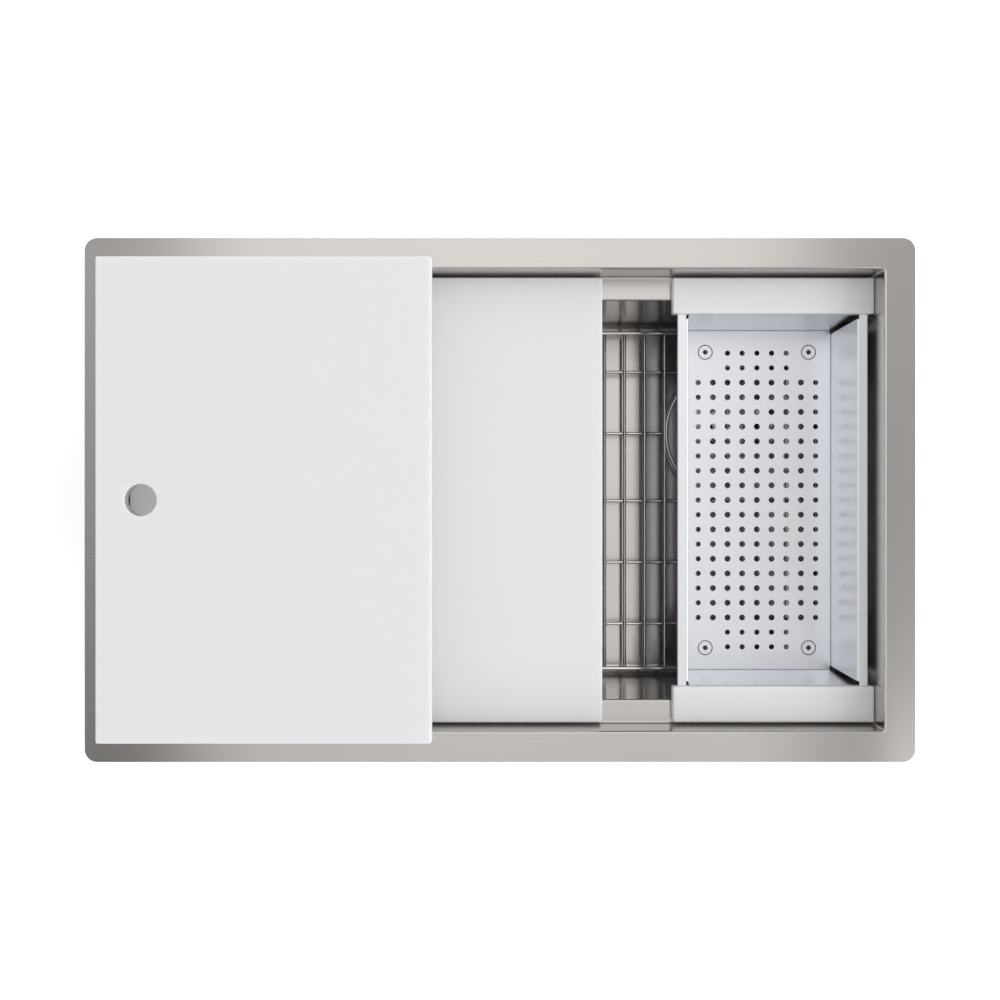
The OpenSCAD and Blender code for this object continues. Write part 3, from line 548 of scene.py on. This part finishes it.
def rounded_copy(node_name, name, round_mm, segments=2):
    """A piece in the node's place whose sharp edges are rounded off by round_mm."""
    packed = nodes[node_name]
    bpy.ops.object.select_all(action="DESELECT")
    piece = bpy.data.objects.new(name, packed.data.copy())
    scene.collection.objects.link(piece)
    bpy.context.view_layer.objects.active = piece
    piece.select_set(True)
    bpy.ops.object.mode_set(mode="EDIT")
    bpy.ops.mesh.select_all(action="SELECT")
    bpy.ops.mesh.remove_doubles(threshold=MERGE_MM * MM)
    bpy.ops.mesh.dissolve_limited(angle_limit=FLAT_ANGLE)
    bpy.ops.object.mode_set(mode="OBJECT")
    bevel = piece.modifiers.new("rounded_edges", "BEVEL")
    bevel.width = round_mm * MM
    bevel.segments = segments
    bevel.angle_limit = SHARP_ANGLE
    bpy.ops.object.modifier_apply(modifier=bevel.name)
    bpy.ops.object.shade_smooth_by_angle(angle=SMOOTH_ANGLE)
    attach(piece, body_of(packed)[0])
    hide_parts(node_name)
    print(name, "has", len(piece.data.polygons), "faces")


for side in ("bottom", "front", "back", "left", "right"):
    rounded_copy("pad_" + side, "cut_pad_" + side, 0.8, segments=3)
rounded_copy("lock_nut", "cast_lock_nut", 0.6)
rounded_copy("coupling_nut", "ribbed_coupling_nut", 0.5)
rounded_copy("colander_handle_screws", "pan_head_handle_screws", 0.5)
rounded_copy("colander_foot_screws", "pan_head_foot_screws", 0.5)

# %% [markdown]
# ## Thread under the lock nut
# The lock nut runs on a thread that is rolled into the strainer's cup. A thread is one small profile that
# turns round an axis and climbs by its pitch each turn, which is just what the Screw modifier does. The
# profile is a four-sided ring, half of it inside the cup's wall, and the two ends are closed afterwards.

# %% Thread on the strainer cup
CUP_RADIUS_MM = 42.9    # outside of the cup, where the profile's middle runs
PITCH_MM = 2.2
TURNS = 10
STEPS_PER_TURN = 48
cup_middle = [(low + high) / 2 for low, high in zip(*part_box("strainer_body"))]
nut_low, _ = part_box("lock_nut")

bpy.ops.object.select_all(action="DESELECT")
bpy.ops.mesh.primitive_circle_add(vertices=4, radius=PITCH_MM / 2 * MM, location=(CUP_RADIUS_MM * MM, 0, 0),
                                  rotation=(math.pi / 2, 0, 0))
thread = bpy.context.object
thread.name = "strainer_thread"
bpy.ops.object.transform_apply(location=True, rotation=True, scale=True)
screw = thread.modifiers.new("climb", "SCREW")
screw.screw_offset = -PITCH_MM * MM
screw.iterations = TURNS
screw.steps = screw.render_steps = STEPS_PER_TURN
bpy.ops.object.modifier_apply(modifier=screw.name)

# %% Close the thread's ends and seat it under the nut
bpy.ops.object.mode_set(mode="EDIT")
bpy.ops.mesh.select_all(action="DESELECT")
bpy.ops.mesh.select_mode(type="EDGE")
bpy.ops.mesh.select_non_manifold()
bpy.ops.mesh.fill()
bpy.ops.mesh.select_all(action="SELECT")
bpy.ops.mesh.normals_make_consistent(inside=False)
bpy.ops.object.mode_set(mode="OBJECT")
thread.location = (cup_middle[0], cup_middle[1], nut_low[2] + PITCH_MM / 2 * MM)
bpy.ops.object.transform_apply(location=True, rotation=False, scale=False)
bpy.ops.object.shade_smooth_by_angle(angle=SMOOTH_ANGLE)
thread.data.materials.append(finishes["bright_steel"])
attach(thread, "sink")
print("thread of", TURNS, "turns,", len(thread.data.polygons), "faces")

# %% [markdown]
# ## Weld beads on the grid
# The grid's long bars lie on its cross bars and are resistance welded to them: the wires are pressed together
# and melt where they touch, which leaves a small bead in the corners of each crossing. One bead is a small
# sphere, turned and flattened in edit mode. It is copied to every crossing outside the drain ring, and to
# both ends of every cross bar, so it has only a few dozen faces.

# %% Where the wires cross
GRID_X_MM = 5.65              # the grid's middle
GRID_Z_MM = -225.0            # the middle of its long bars
GRID_HALF_X_MM = 368.8
LAST_BAR = 15                 # long bars are counted from the middle one
CROSS_ROWS_MM = (148, 77, -1, -72, -143)
RING_CENTRE_MM = (269.0, 77.4)
RING_RADIUS_MM = 76.9

bar_pitch = GRID_HALF_X_MM / (LAST_BAR + 1)
bar_places = [GRID_X_MM + bar * bar_pitch for bar in range(-LAST_BAR, LAST_BAR + 1)]
grid_ends = [GRID_X_MM - GRID_HALF_X_MM, GRID_X_MM + GRID_HALF_X_MM]
crossings = [(bar_x, row_y) for bar_x in bar_places + grid_ends for row_y in CROSS_ROWS_MM
             if math.dist((bar_x, row_y), RING_CENTRE_MM) > RING_RADIUS_MM]
print(len(crossings), "crossings,", round(bar_pitch, 2), "mm apart")

# %% Beads at the crossings
WIRE_MM = 3.5
BEAD_WIDTH = 1.5         # in wire thicknesses
BEAD_FLATNESS = 0.6
BEAD_Z_MM = GRID_Z_MM - WIRE_MM / 2

bpy.ops.object.select_all(action="DESELECT")
bpy.ops.mesh.primitive_uv_sphere_add(segments=8, ring_count=5, radius=BEAD_WIDTH * WIRE_MM / 2 * MM)
bead = bpy.context.object
bead.name = "grid_weld_beads"
bpy.ops.object.mode_set(mode="EDIT")
bpy.ops.transform.rotate(value=math.pi / 4, orient_axis="Z", center_override=(0, 0, 0))
bpy.ops.transform.resize(value=(1, 1, BEAD_FLATNESS))
bpy.ops.object.mode_set(mode="OBJECT")
bpy.ops.object.shade_smooth()
first, *others = [(bar_x * MM, row_y * MM, BEAD_Z_MM * MM) for bar_x, row_y in crossings]
for bead_place in others:
    bead_copy = bpy.data.objects.new("bead", bead.data.copy())
    bead_copy.location = bead_place
    scene.collection.objects.link(bead_copy)
    bead_copy.select_set(True)
bead.location = first
bpy.context.view_layer.objects.active = bead
bpy.ops.object.join()
bpy.ops.object.transform_apply(location=True, rotation=True, scale=True)
bead.data.materials.append(finishes["wire_steel"])
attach(bead, "bottom_grid")
print(len(crossings), "beads,", len(bead.data.polygons), "faces")
